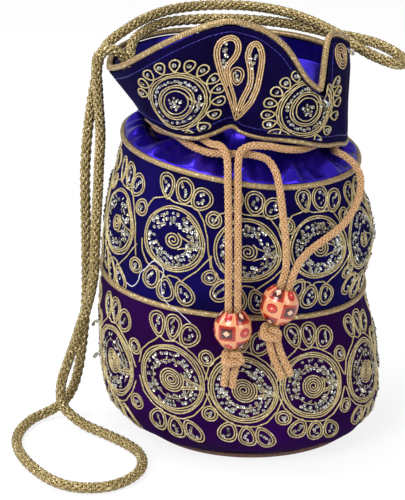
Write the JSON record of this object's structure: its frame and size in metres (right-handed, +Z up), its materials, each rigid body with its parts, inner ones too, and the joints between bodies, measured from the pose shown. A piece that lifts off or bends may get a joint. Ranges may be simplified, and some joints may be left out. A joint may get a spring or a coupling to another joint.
{
  "type": "potli bag",
  "caption": "Soft drawstring pouch with a gathered neck, petal collar, embroidered medallions, beaded drawstrings and a long rope handle.",
  "frame": {"origin": "centre of the footprint of the bag, without its cords, at the floor", "axes": "+Z up, -Y towards the front that the beads hang on, +X to the right seen from the front"},
  "size_m": [0.2102, 0.1806, 0.2389],
  "materials": {
    "violet_velvet": "velvet pile",
    "blue_velvet": "velvet pile",
    "collar_velvet": "velvet pile",
    "satin": "glossy satin",
    "gold_piping": "metallic braid",
    "brown_piping": "matt cloth",
    "gold_thread": "metallic thread",
    "tan_cord": "braided cord",
    "bead_wood": "printed and varnished",
    "rope_gold": "metallic braid"
  },
  "bodies": {
    "bag": {"base_panel": "violet_velvet", "base_piping": "brown_piping", "lower_panel": "violet_velvet", "upper_panel": "blue_velvet", "middle_piping": "gold_piping", "top_piping": "gold_piping", "bag_lining": "satin", "satin_neck": "satin", "collar": "collar_velvet", "collar_lining": "satin", "rim_piping": "gold_piping", "hem_piping": "gold_piping", "drawstring_left": "tan_cord", "drawstring_right": "tan_cord", "knot_left": "tan_cord", "knot_right": "tan_cord", "carry_rope": "rope_gold", "upper_medallion_01": "gold_thread", "upper_medallion_02": "gold_thread", "upper_medallion_03": "gold_thread", "upper_medallion_04": "gold_thread", "upper_medallion_05": "gold_thread", "upper_medallion_06": "gold_thread", "upper_medallion_07": "gold_thread", "upper_medallion_08": "gold_thread", "upper_medallion_09": "gold_thread", "upper_medallion_10": "gold_thread", "upper_medallion_11": "gold_thread", "upper_medallion_12": "gold_thread", "lower_medallion_01": "gold_thread", "lower_medallion_02": "gold_thread", "lower_medallion_03": "gold_thread", "lower_medallion_04": "gold_thread", "lower_medallion_05": "gold_thread", "lower_medallion_06": "gold_thread", "lower_medallion_07": "gold_thread", "lower_medallion_08": "gold_thread", "lower_medallion_09": "gold_thread", "lower_medallion_10": "gold_thread", "lower_medallion_11": "gold_thread", "lower_medallion_12": "gold_thread", "collar_medallion_left": "gold_thread", "collar_medallion_right": "gold_thread", "collar_medallion_back_left": "gold_thread", "collar_medallion_back_right": "gold_thread", "collar_paisley_left": "gold_thread", "collar_paisley_right": "gold_thread"},
    "bead_left": {"bead_left": "bead_wood"},
    "bead_right": {"bead_right": "bead_wood"}
  },
  "joints": [
    {"name": "bead_left_slide", "type": "slide", "parent": "bag", "child": "bead_left", "axis": [0, 0.0499, 0.9988], "range_m": [0, 0.02]},
    {"name": "bead_right_slide", "type": "slide", "parent": "bag", "child": "bead_right", "axis": [0.27, 0, 0.9629], "range_m": [0, 0.008]}
  ]
}
